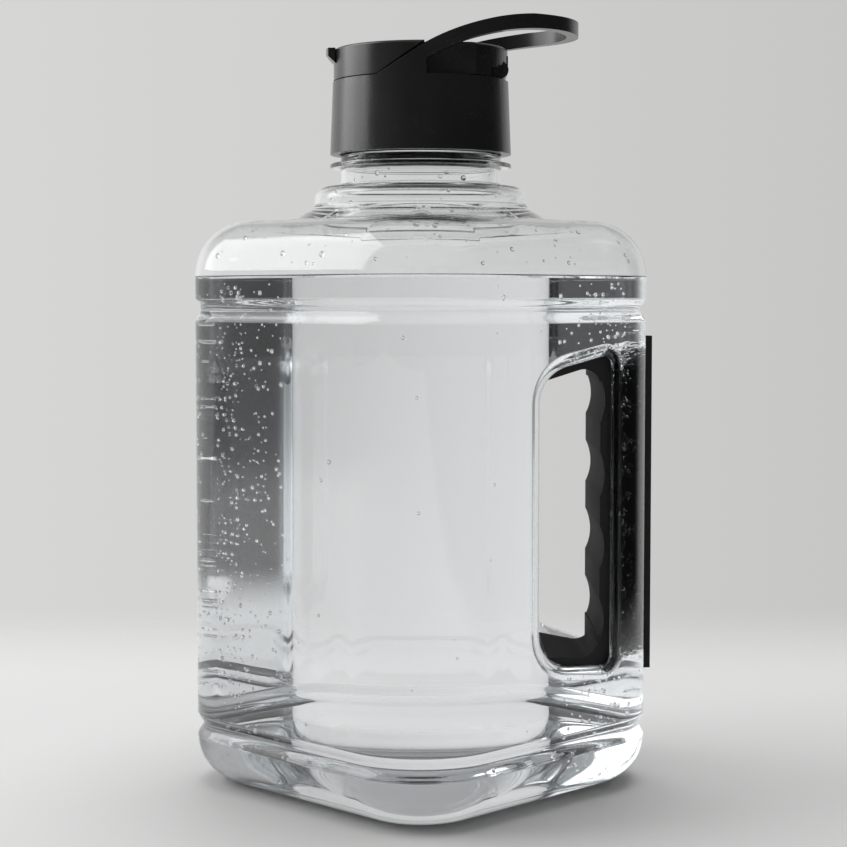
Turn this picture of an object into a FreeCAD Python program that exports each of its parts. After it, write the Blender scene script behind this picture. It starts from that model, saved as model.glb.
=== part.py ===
"""Clear two-litre square drink jug with a corner handle and a flip-lid screw cap.

Millimetres, +Z up. The origin is on the neck axis, in the plane the jug stands on.
+X points to the handle corner, so the four flat sides lie at 45 degrees to X and Y.
"""
import FreeCAD, Part
import math
import os

V = FreeCAD.Vector
ALONG_Y = V(0, 1, 0)
ALONG_Z = V(0, 0, 1)
ROOT2 = math.sqrt(2)

# Jug body
BODY_SIDE = 115.0
BODY_CORNER_R = 27.0
WALL = 1.5
BASE_EDGE_R = 15.0
SHOULDER_Z = 175.0
SHOULDER_R = 17.0
STAND_W = 9.5
PUSH_UP_RISE = 6.0
GATE_R = 9.0
GATE_DROP = 0.8
GROOVE_UP = 18.5
GROOVE_DOWN = 27.4
GROOVE_R = 3.2
GROOVE_DEPTH = 1.6

# Neck, from the shoulder upwards
CONE_H = 4.0
CONE_SET_IN = 0.5
BOSS_W = 8.2
BOSS_H = 6.5
BOSS_EDGE_R = 4.0
NECK_STEP = 2.2
NECK_H = 9.5
FINISH_R = 22.6
FINISH_WALL = 1.8
FINISH_H = 14.5
RING_W = 3.3
RING_T = 1.4
RING_UP = 5.7
RING_EDGE = 0.5

# Screw thread, one start, right-handed
THREAD_PITCH = 4.2
THREAD_TURNS = 1.25
THREAD_DEPTH = 1.15
THREAD_FOOT = 1.9
THREAD_TIP = 0.9
THREAD_GAP = 0.35
THREAD_UP = 4.0
THREAD_SINK = 0.3

# Finger hole through the handle corner, drawn in the XZ plane
COLUMN_T = 12.6
HOLE_W = 22.9
HOLE_IN_Z = (43.5, 129.0)
HOLE_OUT_Z = (39.5, 134.5)
HOLE_CORNER_R = 11.0
HOLE_LIP_R = 1.6

# Soft grip moulded round the handle column
GRIP_ARM_T = 2.8
GRIP_PAD_T = 3.4
GRIP_FRONT_IN = 3.0
GRIP_BACK_Y = 5.0
GRIP_FLANGE_T = 2.6
FLANGE_OVER = 5.0
FLANGE_CORNER_R = 6.0
FLANGE_EDGE_DEG = 6.0
FLANGE_ROOT = 5.0
FINGERS = 4
FINGER_DEPTH = 1.5
FINGER_R = 16.0

# Screw cap
CAP_WALL = 2.9
CAP_TAPER = 0.9
CAP_RING_GAP = 2.9
CAP_H = 22.2
INSERT_FOOT_UP = 0.8
INSERT_WALL = 1.0
DECK_T = 2.0
GASKET_T = 1.6
GASKET_IN = 0.5
GASKET_OUT = 1.1
SEAL_GAP = 0.3

# Carry loop, moulded with the cap shell
LOOP_REACH = 21.6
LOOP_BAND_W = 3.7
LOOP_BAND_H = 4.3
LOOP_RISE = 8.0
LOOP_ROOT_X = (-13.0, 1.8)
LOOP_MID_X = 11.3
LOOP_MID_RISE = 0.45
LOOP_END_RISE = 0.8
LOOP_START_DROP = 0.6
LOOP_UNDER_DROP = 0.8

# Flip lid and its hinge
LID_H = 9.9
LID_SET_IN = 0.25
LID_TOP_T = 2.2
LID_SKIRT_T = 1.6
LID_EDGE_R = 0.8
LID_GAP = 0.35
LID_SIDE_GAP = 2.2
TAB_OUT = 2.35
TAB_W = 15.0
TAB_T = 4.6
BARREL_R = 2.6
PIN_R = 1.2
PIN_CLEAR = 0.05
KNUCKLE_W = 8.6
EAR_W = 4.4
HINGE_GAP = 0.3

# Drinking spout and its plug
SPOUT_X = -5.0
SPOUT_BORE_R = 7.5
SPOUT_WALL = 2.0
SPOUT_FLANGE_W = 2.0
SPOUT_FLANGE_T = 1.4
SPOUT_BEAD_W = 0.8
SPOUT_BEAD_T = 1.0
PLUG_GAP = 0.35
PLUG_TAPER = 0.5
PLUG_DEPTH = 3.4
PLUG_FLANGE_T = 1.5
PLUG_STUD_R = 3.0
PLUG_STUD_H = 3.0

# How near two positions count as the same
NEAR = 1e-4

# Radii and places across the jug, worked out from the sizes above
CORNER_X = (BODY_SIDE / 2 - BODY_CORNER_R) * ROOT2
CONE_R = BODY_SIDE / 2 - SHOULDER_R - CONE_SET_IN
PUSH_UP_R = BODY_SIDE / 2 - BASE_EDGE_R - STAND_W
NECK_R = FINISH_R + NECK_STEP
NECK_BORE_R = FINISH_R - FINISH_WALL
BOSS_R = NECK_R + BOSS_W
RING_R = NECK_R + RING_W
HOLE_OUT_X = CORNER_X + BODY_CORNER_R - COLUMN_T
HOLE_IN_X = HOLE_OUT_X - HOLE_W
PAD_X = HOLE_OUT_X - GRIP_PAD_T
CAP_BORE_R = FINISH_R + THREAD_DEPTH + THREAD_GAP + INSERT_WALL
CAP_FOOT_R = CAP_BORE_R + CAP_WALL
CAP_TOP_R = CAP_FOOT_R - CAP_TAPER
LOOP_END_X = CAP_TOP_R + LOOP_REACH
LID_R = CAP_TOP_R - LID_SET_IN
LID_SIDE_R = CAP_TOP_R - LOOP_BAND_W - LID_SIDE_GAP
HINGE_X = LID_R - BARREL_R
SPOUT_R = SPOUT_BORE_R + SPOUT_WALL
FAR = 3 * BODY_SIDE

# Heights, worked out from the base upwards
GROOVE_Z = (GROOVE_UP, SHOULDER_Z - GROOVE_DOWN)
FLANGE_Z = (HOLE_OUT_Z[0] - FLANGE_OVER, HOLE_OUT_Z[1] + FLANGE_OVER)
BOSS_FOOT_Z = SHOULDER_Z + CONE_H
BOSS_TOP_Z = BOSS_FOOT_Z + BOSS_H
RING_Z = BOSS_TOP_Z + RING_UP
FINISH_Z = BOSS_TOP_Z + NECK_H
THREAD_START_Z = FINISH_Z + THREAD_UP
RIM_Z = FINISH_Z + FINISH_H
GASKET_Z = RIM_Z + SEAL_GAP
DECK_Z = GASKET_Z + GASKET_T + SEAL_GAP
DECK_TOP_Z = DECK_Z + DECK_T
CAP_FOOT_Z = RING_Z + RING_T + CAP_RING_GAP
CAP_TOP_Z = CAP_FOOT_Z + CAP_H
LID_TOP_Z = CAP_TOP_Z + LID_H
LID_UNDER_Z = LID_TOP_Z - LID_TOP_T
LOOP_TOP_Z = LID_TOP_Z + LOOP_RISE
HINGE_Z = CAP_TOP_Z + LID_GAP + BARREL_R
SPOUT_TOP_Z = LID_UNDER_Z - PLUG_FLANGE_T - PLUG_GAP


def polar(radius, angle, z=0.0):
    """A point at this radius and angle, in radians, round the Z axis."""
    return V(radius * math.cos(angle), radius * math.sin(angle), z)


def revolve(profile):
    """A full turn round Z of a closed outline of (radius, height) corners."""
    points = [V(r, 0, z) for r, z in profile]
    face = Part.Face(Part.makePolygon(points + points[:1]))
    return face.revolve(V(0, 0, 0), ALONG_Z, 360)


def slab(corners, y_from, y_to):
    """An outline of (x, z) corners carried along Y."""
    points = [V(x, y_from, z) for x, z in corners]
    face = Part.Face(Part.makePolygon(points + points[:1]))
    return face.extrude(V(0, y_to - y_from, 0))


def rod(radius, y_from, y_to, x, z):
    """A round bar along Y."""
    return Part.makeCylinder(radius, y_to - y_from, V(x, y_from, z), ALONG_Y)


def box(x, y, z):
    """A block between three (low, high) pairs."""
    return Part.makeBox(x[1] - x[0], y[1] - y[0], z[1] - z[0], V(x[0], y[0], z[0]))


def square_wire(side, corner_r, z):
    """A rounded square with its corners on the X and Y axes."""
    reach = (side / 2 - corner_r) * ROOT2
    quarter = math.pi / 4
    edges = []
    for turn in range(4):
        middle = turn * math.pi / 2
        centre = polar(reach, middle, z)
        start, peak, end = [centre + polar(corner_r, middle + k * quarter) for k in (-1, 0, 1)]
        following = polar(reach, middle + 2 * quarter, z) + polar(corner_r, middle + quarter)
        edges.append(Part.Arc(start, peak, end).toShape())
        edges.append(Part.makeLine(end, following))
    return Part.Wire(edges)


def level_edges(shape, z):
    """The edges that lie wholly at one height."""
    return [e for e in shape.Edges if max(abs(e.BoundBox.ZMin - z), abs(e.BoundBox.ZMax - z)) < NEAR]


def cross_edges(shape, x_from, x_to):
    """The straight edges along Y that lie between two X positions."""
    spans = [(e, e.BoundBox) for e in shape.Edges]
    along = [(e, b) for e, b in spans if b.YLength > b.XLength + b.ZLength]
    return [e for e, b in along if b.XMin > x_from and b.XMax < x_to]


def body_block(inset):
    """The square body, drawn in by an inset on every side, with its edges rounded."""
    foot = inset
    height = SHOULDER_Z - 2 * inset
    wire = square_wire(BODY_SIDE - 2 * inset, BODY_CORNER_R - inset, foot)
    block = Part.Face(wire).extrude(V(0, 0, height))
    block = block.makeFillet(BASE_EDGE_R - inset, level_edges(block, foot))
    return block.makeFillet(SHOULDER_R - inset, level_edges(block, foot + height))


def neck_outside():
    """Shoulder cone, boss, neck and threadless finish as one turned form."""
    root_z = SHOULDER_Z - SHOULDER_R / 2
    turned = revolve([
        (0, root_z), (CONE_R, root_z), (CONE_R, SHOULDER_Z), (BOSS_R, BOSS_FOOT_Z),
        (BOSS_R, BOSS_TOP_Z), (NECK_R, BOSS_TOP_Z), (NECK_R, FINISH_Z),
        (FINISH_R, FINISH_Z), (FINISH_R, RIM_Z), (0, RIM_Z),
    ])
    rim = [e for e in level_edges(turned, BOSS_TOP_Z) if abs(e.Curve.Radius - BOSS_R) < NEAR]
    turned = turned.makeFillet(BOSS_EDGE_R, rim)
    ring = Part.makeCylinder(RING_R, RING_T, V(0, 0, RING_Z))
    ring = ring.makeChamfer(RING_EDGE, level_edges(ring, RING_Z) + level_edges(ring, RING_Z + RING_T))
    return turned.fuse(ring)


def neck_inside():
    """The hollow of the shoulder cone, boss and neck, open past the rim."""
    root_z = SHOULDER_Z - SHOULDER_R / 2
    boss_in = BOSS_R - WALL
    return revolve([
        (0, root_z), (CONE_R, root_z), (CONE_R, SHOULDER_Z - WALL), (boss_in, BOSS_FOOT_Z - WALL),
        (boss_in, BOSS_TOP_Z - BOSS_EDGE_R), (boss_in - BOSS_EDGE_R + WALL, BOSS_TOP_Z - WALL),
        (NECK_BORE_R, BOSS_TOP_Z - WALL), (NECK_BORE_R, RIM_Z + WALL), (0, RIM_Z + WALL),
    ])


def push_up(inset):
    """The dome that lifts the middle of the base, with a lower round at its top."""
    dome_r = (PUSH_UP_R ** 2 + PUSH_UP_RISE ** 2) / (2 * PUSH_UP_RISE)
    dome = Part.makeSphere(dome_r + inset, V(0, 0, PUSH_UP_RISE - dome_r))
    gate_z = PUSH_UP_RISE - GATE_DROP + inset
    gate = Part.makeCylinder(GATE_R - inset, PUSH_UP_RISE, V(0, 0, gate_z))
    return dome.cut(gate)


def groove(z, inset):
    """A half-round band sunk into the sides at one height."""
    out = GROOVE_R - GROOVE_DEPTH
    path = square_wire(BODY_SIDE + 2 * out, BODY_CORNER_R + out, z)
    start = path.Edges[1].Vertexes[0].Point
    facing = path.Edges[1].tangentAt(path.Edges[1].FirstParameter)
    section = Part.Wire(Part.makeCircle(GROOVE_R + inset, start, facing))
    edges = path.Edges[1:] + path.Edges[:1]
    return Part.Wire(edges).makePipeShell([section], True, False)


def hole_outline(grow):
    """Corners of the finger hole, in XZ, pushed out by a margin."""
    inner = HOLE_IN_X - grow
    outer = HOLE_OUT_X + grow
    return [
        (inner, HOLE_IN_Z[0] - grow), (outer, HOLE_OUT_Z[0] - grow),
        (outer, HOLE_OUT_Z[1] + grow), (inner, HOLE_IN_Z[1] + grow),
    ]


def finger_hole(grow, y_from=-FAR, y_to=FAR):
    """The finger hole as a bar along Y, its inner corners rounded."""
    bar = slab(hole_outline(grow), y_from, y_to)
    middle_x = (HOLE_IN_X + HOLE_OUT_X) / 2
    return bar.makeFillet(HOLE_CORNER_R + grow, cross_edges(bar, -FAR, middle_x))


def mouth_edges(shape):
    """The edges where the finger hole opens through two of the flat sides."""
    reach = BODY_SIDE / ROOT2
    found = []
    for edge in shape.Edges:
        span = edge.BoundBox
        on_flat = all(abs(v.X + abs(v.Y) - reach) < NEAR for v in edge.Vertexes)
        within_x = span.XMin > HOLE_IN_X - NEAR and span.XMax < HOLE_OUT_X + NEAR
        within_z = span.ZMin > HOLE_OUT_Z[0] - NEAR and span.ZMax < HOLE_OUT_Z[1] + NEAR
        if on_flat and within_x and within_z:
            found.append(edge)
    return found


def helical_rib(foot_r, tip_r, start_z):
    """One run of thread, its foot sunk a little into the wall that carries it."""
    sink = math.copysign(THREAD_SINK, foot_r - tip_r)
    helix = Part.makeHelix(THREAD_PITCH, THREAD_PITCH * THREAD_TURNS, foot_r)
    corners = [
        V(foot_r + sink, 0, -THREAD_FOOT / 2), V(tip_r, 0, -THREAD_TIP / 2),
        V(tip_r, 0, THREAD_TIP / 2), V(foot_r + sink, 0, THREAD_FOOT / 2),
    ]
    section = Part.makePolygon(corners + corners[:1])
    rib = Part.Wire(helix.Edges).makePipeShell([section], True, True)
    rib.translate(V(0, 0, start_z))
    return rib


def jug_outside():
    """The jug as a solid form, with a tunnel for the fingers behind one corner."""
    block = body_block(0).cut(finger_hole(0))
    skin = block.makeFillet(HOLE_LIP_R, mouth_edges(block)).fuse(neck_outside())
    for z in GROOVE_Z:
        skin = skin.cut(groove(z, 0))
    return skin.cut(push_up(0))


def make_bottle_body():
    """Blow-moulded clear jug: one skin, hollow right round the finger hole."""
    hollow = body_block(WALL).fuse(neck_inside())
    for z in GROOVE_Z:
        hollow = hollow.cut(groove(z, WALL))
    hollow = hollow.cut(push_up(WALL)).cut(finger_hole(WALL))
    shell = jug_outside().cut(hollow)
    return shell.fuse(helical_rib(FINISH_R, FINISH_R + THREAD_DEPTH, THREAD_START_Z))


def finger_waves():
    """Bars along Y that scoop one hollow for each finger out of the grip's pad."""
    low = HOLE_OUT_Z[0] + GRIP_ARM_T
    pitch = (HOLE_OUT_Z[1] - GRIP_ARM_T - low) / FINGERS
    centre_x = PAD_X + FINGER_DEPTH - FINGER_R
    bars = [rod(FINGER_R, -FAR, FAR, centre_x, low + pitch * (k + 0.5)) for k in range(FINGERS)]
    ends = HOLE_CORNER_R / 2
    reach_z = (low + ends, low + pitch * FINGERS - ends)
    return bars[0].multiFuse(bars[1:]).common(box((0, FAR), (-FAR, FAR), reach_z))


def grip_flange():
    """The flat of the grip that wraps the back of the handle column."""
    skin = square_wire(BODY_SIDE + 2 * GRIP_FLANGE_T, BODY_CORNER_R + GRIP_FLANGE_T, FLANGE_Z[0])
    plate = Part.Face(skin).extrude(V(0, 0, FLANGE_Z[1] - FLANGE_Z[0]))
    root = square_wire(BODY_SIDE - 2 * FLANGE_ROOT, BODY_CORNER_R - FLANGE_ROOT, 0)
    plate = plate.cut(Part.Face(root).extrude(V(0, 0, SHOULDER_Z)))
    edge_slope = math.tan(math.radians(FLANGE_EDGE_DEG))
    window = slab([
        (PAD_X, FLANGE_Z[0]), (FAR, FLANGE_Z[0]),
        (FAR, FLANGE_Z[1]), (PAD_X, FLANGE_Z[1]),
    ], 0, FAR)
    window = window.makeFillet(FLANGE_CORNER_R, cross_edges(window, -FAR, FAR / 2))
    behind = box((CORNER_X, FAR), (-FAR, FAR), (0, SHOULDER_Z))
    front = Part.makePolygon([
        V(CORNER_X, 0, 0), V(FAR, (FAR - CORNER_X) * edge_slope, 0), V(FAR, -FAR, 0),
        V(CORNER_X, -FAR, 0), V(CORNER_X, 0, 0),
    ])
    front = Part.Face(front).extrude(V(0, 0, SHOULDER_Z))
    return plate.common(window).common(behind).cut(front)


def make_handle_grip():
    """Soft grip: a C that lines the finger hole, a pad with finger waves, and a back flange."""
    inside = Part.Face(square_wire(BODY_SIDE - 2 * GRIP_FRONT_IN, BODY_CORNER_R - GRIP_FRONT_IN, 0))
    inside = inside.extrude(V(0, 0, SHOULDER_Z))
    lining = finger_hole(0, -FAR, GRIP_BACK_Y).common(inside)
    opening = slab([
        (HOLE_IN_X - WALL, HOLE_IN_Z[0] + GRIP_ARM_T), (PAD_X, HOLE_OUT_Z[0] + GRIP_ARM_T),
        (PAD_X, HOLE_OUT_Z[1] - GRIP_ARM_T), (HOLE_IN_X - WALL, HOLE_IN_Z[1] - GRIP_ARM_T),
    ], -FAR, FAR)
    opening = opening.makeFillet(HOLE_CORNER_R / 2, cross_edges(opening, HOLE_IN_X, FAR))
    pad = finger_hole(0, 0, FAR).common(box((PAD_X, FAR), (0, FAR), (0, SHOULDER_Z)))
    outside = Part.Face(square_wire(BODY_SIDE + 2 * GRIP_FLANGE_T, BODY_CORNER_R + GRIP_FLANGE_T, 0))
    pad = pad.common(outside.extrude(V(0, 0, SHOULDER_Z)))
    grip = lining.fuse(pad).cut(opening).fuse(grip_flange())
    return grip.cut(finger_waves()).cut(jug_outside()).removeSplitter()


def loop_side():
    """The loop seen from the side, carried across the cap: a root, a rising arm and a level end."""
    root_low = CAP_TOP_Z - LOOP_BAND_H
    front, back = LOOP_ROOT_X
    far_x = LOOP_END_X + LOOP_BAND_W
    rise = LOOP_TOP_Z - LID_TOP_Z
    mid_z = LID_TOP_Z + LOOP_MID_RISE * rise
    end_z = LID_TOP_Z + LOOP_END_RISE * rise
    top = Part.BSplineCurve()
    arm_top = [
        V(back, 0, LID_TOP_Z - LOOP_START_DROP), V(LOOP_MID_X, 0, mid_z),
        V(LOOP_REACH, 0, end_z), V(LOOP_END_X, 0, LOOP_TOP_Z),
    ]
    top.interpolate(arm_top)
    under = Part.BSplineCurve()
    arm_under = [
        V(LOOP_END_X, 0, LOOP_TOP_Z - LOOP_BAND_H), V(LOOP_REACH, 0, end_z - LOOP_BAND_H),
        V(LOOP_MID_X, 0, mid_z - LOOP_BAND_H), V(back, 0, LID_TOP_Z - LOOP_BAND_H - LOOP_UNDER_DROP),
    ]
    under.interpolate(arm_under)
    outline = Part.Wire([
        Part.makeLine(V(back, 0, root_low), V(front, 0, root_low)),
        Part.makeLine(V(front, 0, root_low), V(front, 0, CAP_TOP_Z)),
        Part.makeLine(V(front, 0, CAP_TOP_Z), arm_top[0]),
        top.toShape(),
        Part.makeLine(arm_top[-1], V(far_x, 0, LOOP_TOP_Z)),
        Part.makeLine(V(far_x, 0, LOOP_TOP_Z), V(far_x, 0, LOOP_TOP_Z - LOOP_BAND_H)),
        Part.makeLine(V(far_x, 0, LOOP_TOP_Z - LOOP_BAND_H), arm_under[0]),
        under.toShape(),
        Part.makeLine(arm_under[-1], V(back, 0, root_low)),
    ])
    solid = Part.Face(outline).extrude(V(0, 2 * CAP_FOOT_R, 0))
    solid.translate(V(0, -CAP_FOOT_R, 0))
    return solid


def stadium(radius, z_from, z_to):
    """Two round ends joined by straight sides: the loop seen from above."""
    low = V(0, 0, z_from)
    high = z_to - z_from
    ends = [Part.makeCylinder(radius, high, low + V(x, 0, 0)) for x in (0, LOOP_REACH)]
    sides = box((0, LOOP_REACH), (-radius, radius), (z_from, z_to))
    return ends[0].multiFuse([ends[1], sides])


def make_cap_shell():
    """Outer cap shell with the carry loop and the two hinge ears."""
    wall = revolve([
        (CAP_BORE_R, CAP_FOOT_Z), (CAP_FOOT_R, CAP_FOOT_Z),
        (CAP_TOP_R, CAP_TOP_Z), (CAP_BORE_R, CAP_TOP_Z),
    ])
    band = stadium(CAP_TOP_R, CAP_FOOT_Z, LOOP_TOP_Z)
    band = band.cut(stadium(CAP_TOP_R - LOOP_BAND_W, CAP_FOOT_Z, LOOP_TOP_Z))
    loop = band.common(loop_side())
    insert = Part.makeCylinder(CAP_BORE_R, DECK_TOP_Z - CAP_FOOT_Z, V(0, 0, CAP_FOOT_Z))
    shell = wall.fuse(loop.cut(insert))
    inside = Part.makeCylinder(CAP_TOP_R, CAP_TOP_Z)
    ear_in = KNUCKLE_W / 2 + HINGE_GAP
    ear_out = ear_in + EAR_W
    for y in ((ear_in, ear_out), (-ear_out, -ear_in)):
        foot = box((HINGE_X - BARREL_R, FAR), y, (DECK_TOP_Z + HINGE_GAP, CAP_TOP_Z)).common(inside)
        post = box((HINGE_X - BARREL_R, HINGE_X), y, (DECK_TOP_Z + HINGE_GAP, HINGE_Z))
        shell = shell.multiFuse([rod(BARREL_R, y[0], y[1], HINGE_X, HINGE_Z), foot, post])
    return shell.cut(rod(PIN_R, -CAP_FOOT_R, CAP_FOOT_R, HINGE_X, HINGE_Z)).removeSplitter()


def make_cap_insert():
    """Threaded inner cap with a deck over the neck and a hole for the spout."""
    foot_z = CAP_FOOT_Z + INSERT_FOOT_UP
    bore = CAP_BORE_R - INSERT_WALL
    cup = revolve([
        (bore, foot_z), (CAP_BORE_R, foot_z), (CAP_BORE_R, DECK_TOP_Z),
        (0, DECK_TOP_Z), (0, DECK_Z), (bore, DECK_Z),
    ])
    cup = cup.cut(Part.makeCylinder(SPOUT_R, FAR, V(SPOUT_X, 0, 0)))
    tip = FINISH_R + THREAD_GAP
    return cup.fuse(helical_rib(bore, tip, THREAD_START_Z + THREAD_PITCH / 2))


def make_spout():
    """Soft drinking spout, held in the deck by a flange below and a bead above."""
    low = DECK_Z - SPOUT_FLANGE_T
    bead_z = DECK_TOP_Z + SPOUT_BEAD_T
    flange_r = SPOUT_R + SPOUT_FLANGE_W
    bead_r = SPOUT_R + SPOUT_BEAD_W
    spout = revolve([
        (SPOUT_BORE_R, low), (flange_r, low), (flange_r, DECK_Z), (SPOUT_R, DECK_Z),
        (SPOUT_R, DECK_TOP_Z), (bead_r, DECK_TOP_Z), (bead_r, bead_z), (SPOUT_R, bead_z),
        (SPOUT_R, SPOUT_TOP_Z), (SPOUT_BORE_R, SPOUT_TOP_Z),
    ])
    spout.translate(V(SPOUT_X, 0, 0))
    return spout


def make_neck_gasket():
    """Flat ring that seals the deck on the neck's rim."""
    ring = Part.makeCylinder(FINISH_R + GASKET_OUT, GASKET_T, V(0, 0, GASKET_Z))
    return ring.cut(Part.makeCylinder(NECK_BORE_R - GASKET_IN, GASKET_T, V(0, 0, GASKET_Z)))


def lid_cutaway():
    """What the lid leaves free at each side for the loop's roots and arms."""
    front, back = LOOP_ROOT_X
    slope = (LID_TOP_Z - CAP_TOP_Z) / (back - front)
    shift = LID_GAP * math.hypot(1, 1 / slope)
    outline = [
        (front - shift, 0), (front - shift, CAP_TOP_Z), (back - shift, LID_TOP_Z),
        (back - shift, FAR), (FAR, FAR), (FAR, 0),
    ]
    return slab(outline, -FAR, FAR).cut(stadium(LID_SIDE_R, 0, FAR))


def make_flip_lid():
    """Lid cup with a thumb tab in front, a plug stud inside and a hinge knuckle behind."""
    foot_z = CAP_TOP_Z + LID_GAP
    lid = Part.makeCylinder(LID_R, LID_TOP_Z - foot_z, V(0, 0, foot_z))
    tab_x = LID_SKIRT_T / 2 - LID_R
    tab_reach = LID_R + TAB_OUT
    tab = slab([
        (tab_x, LID_TOP_Z), (-tab_reach, LID_TOP_Z),
        (-tab_reach, LID_TOP_Z - LID_SKIRT_T), (tab_x, LID_TOP_Z - TAB_T),
    ], -TAB_W / 2, TAB_W / 2)
    lid = lid.makeFillet(LID_EDGE_R, level_edges(lid, LID_TOP_Z))
    lid = lid.fuse(tab.common(Part.makeCylinder(tab_reach, FAR)))
    lid = lid.cut(Part.makeCylinder(LID_R - LID_SKIRT_T, LID_UNDER_Z, V(0, 0, 0)))
    cheeks = stadium(LID_SIDE_R, foot_z, LID_UNDER_Z)
    cheeks = cheeks.cut(stadium(LID_SIDE_R - LID_SKIRT_T, foot_z, LID_UNDER_Z))
    cheeks = cheeks.common(box((LOOP_ROOT_X[0], HINGE_X), (-FAR, FAR), (foot_z, LID_UNDER_Z)))
    cheeks = cheeks.common(Part.makeCylinder(LID_R, LID_TOP_Z))
    lid = lid.fuse(cheeks).cut(lid_cutaway())
    lid = lid.cut(box((HINGE_X - BARREL_R - HINGE_GAP, FAR), (-FAR, FAR), (0, HINGE_Z + LID_GAP)))
    knuckle_y = KNUCKLE_W / 2
    ear_end = knuckle_y + EAR_W + 2 * HINGE_GAP
    lid = lid.cut(rod(BARREL_R + HINGE_GAP, -ear_end, ear_end, HINGE_X, HINGE_Z))
    web = box((HINGE_X - BARREL_R, HINGE_X + BARREL_R), (-knuckle_y, knuckle_y), (HINGE_Z, LID_UNDER_Z))
    lid = lid.fuse(web.fuse(rod(BARREL_R, -knuckle_y, knuckle_y, HINGE_X, HINGE_Z)))
    lid = lid.cut(rod(PIN_R + PIN_CLEAR, -CAP_FOOT_R, CAP_FOOT_R, HINGE_X, HINGE_Z))
    stud = Part.makeCylinder(PLUG_STUD_R, PLUG_STUD_H, V(SPOUT_X, 0, LID_UNDER_Z - PLUG_STUD_H))
    return lid.fuse(stud).removeSplitter()


def make_lid_plug():
    """Soft plug on the lid's stud that closes the spout."""
    top_r = SPOUT_BORE_R - PLUG_GAP
    flange_z = LID_UNDER_Z - PLUG_FLANGE_T
    stud_z = LID_UNDER_Z - PLUG_STUD_H
    tip_z = flange_z - PLUG_DEPTH
    plug = revolve([
        (PLUG_STUD_R, LID_UNDER_Z), (SPOUT_R, LID_UNDER_Z), (SPOUT_R, flange_z), (top_r, flange_z),
        (top_r - PLUG_TAPER, tip_z), (0, tip_z), (0, stud_z), (PLUG_STUD_R, stud_z),
    ])
    plug.translate(V(SPOUT_X, 0, 0))
    return plug


def make_hinge_pin():
    """Pin held in both ears, on which the lid's knuckle turns."""
    reach = KNUCKLE_W / 2 + HINGE_GAP + EAR_W
    return rod(PIN_R, -reach, reach, HINGE_X, HINGE_Z)


PIECES = {
    "bottle_body": make_bottle_body,
    "handle_grip": make_handle_grip,
    "cap_shell": make_cap_shell,
    "cap_insert": make_cap_insert,
    "spout": make_spout,
    "neck_gasket": make_neck_gasket,
    "flip_lid": make_flip_lid,
    "lid_plug": make_lid_plug,
    "hinge_pin": make_hinge_pin,
}

os.makedirs("parts", exist_ok=True)
for name, make in PIECES.items():
    piece = make()
    piece.exportStep("parts/" + name + ".step")
    span = piece.BoundBox
    print(name, len(piece.Solids), "solid, valid:", piece.isValid(), "mm3:", round(piece.Volume), span)
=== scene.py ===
"""Clear square drink jug with water, a corner grip and a black flip-lid cap, in a pale studio.

Laid out as an add-on: the sizes and finishes are properties, and each piece has its own operator.
Everything is in metres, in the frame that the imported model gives.
"""
import math
import random
from itertools import accumulate

import bmesh
import bpy
from bpy.props import FloatProperty, FloatVectorProperty, IntProperty, PointerProperty
from mathutils import Matrix, Vector


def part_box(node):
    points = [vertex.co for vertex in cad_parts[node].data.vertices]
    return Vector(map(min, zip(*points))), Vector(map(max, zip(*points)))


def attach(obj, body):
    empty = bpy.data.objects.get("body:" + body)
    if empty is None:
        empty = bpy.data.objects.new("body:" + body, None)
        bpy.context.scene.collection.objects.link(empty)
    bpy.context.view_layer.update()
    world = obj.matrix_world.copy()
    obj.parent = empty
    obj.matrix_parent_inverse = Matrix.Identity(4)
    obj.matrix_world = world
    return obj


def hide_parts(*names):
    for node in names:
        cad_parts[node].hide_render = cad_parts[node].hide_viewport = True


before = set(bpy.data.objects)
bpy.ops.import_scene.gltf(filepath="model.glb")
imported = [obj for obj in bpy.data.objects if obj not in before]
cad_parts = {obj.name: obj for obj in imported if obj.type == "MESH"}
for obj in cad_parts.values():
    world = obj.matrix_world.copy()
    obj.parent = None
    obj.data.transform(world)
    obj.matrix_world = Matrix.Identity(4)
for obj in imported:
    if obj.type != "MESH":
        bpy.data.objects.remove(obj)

bl_info = {
    "name": "Square Drink Jug",
    "version": (1, 0, 0),
    "blender": (4, 5, 0),
    "location": "3D View > Sidebar > Jug",
    "description": "Builds a clear square jug with its cap, grip and water around the packed frame",
    "category": "Object",
}

MM = 0.001
NEAR = 1e-6
CUT_NEAR = 1e-5

CORNER_STEPS = 20
EDGE_STEPS = 12
LIP_STEPS = 6
ARC_STEPS = 8
TURN_STEPS = 144
BEVEL_STEPS = 2
BALL_SIDES = 8
BALL_RINGS = 5
THREAD_TURNS = 1.25

FLAT_DEG = 0.3
MOUTH_DEG = 11.5
SHARP_DEG = 40.0
ALL_SMOOTH_DEG = 180.0

PLASTIC_IOR = 1.46
WATER_IOR = 1.333
BUBBLE_IOR = 0.75
SATIN_IOR = 1.5

BUBBLE_SEED = 7
SMALL_BIAS = 2.5
BUBBLE_R = (0.3 * MM, 0.8 * MM)
DROPLET_R = (0.3 * MM, 1.0 * MM)
BUBBLE_LOW_Z = 8 * MM
BUBBLE_SIDE_X = 40 * MM
BUBBLE_CORNER_X = 60 * MM
BUBBLE_BACK_Y = 60 * MM
DROPLET_FRONT_Y = 10 * MM
LINE_GAP = 2 * MM

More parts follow.
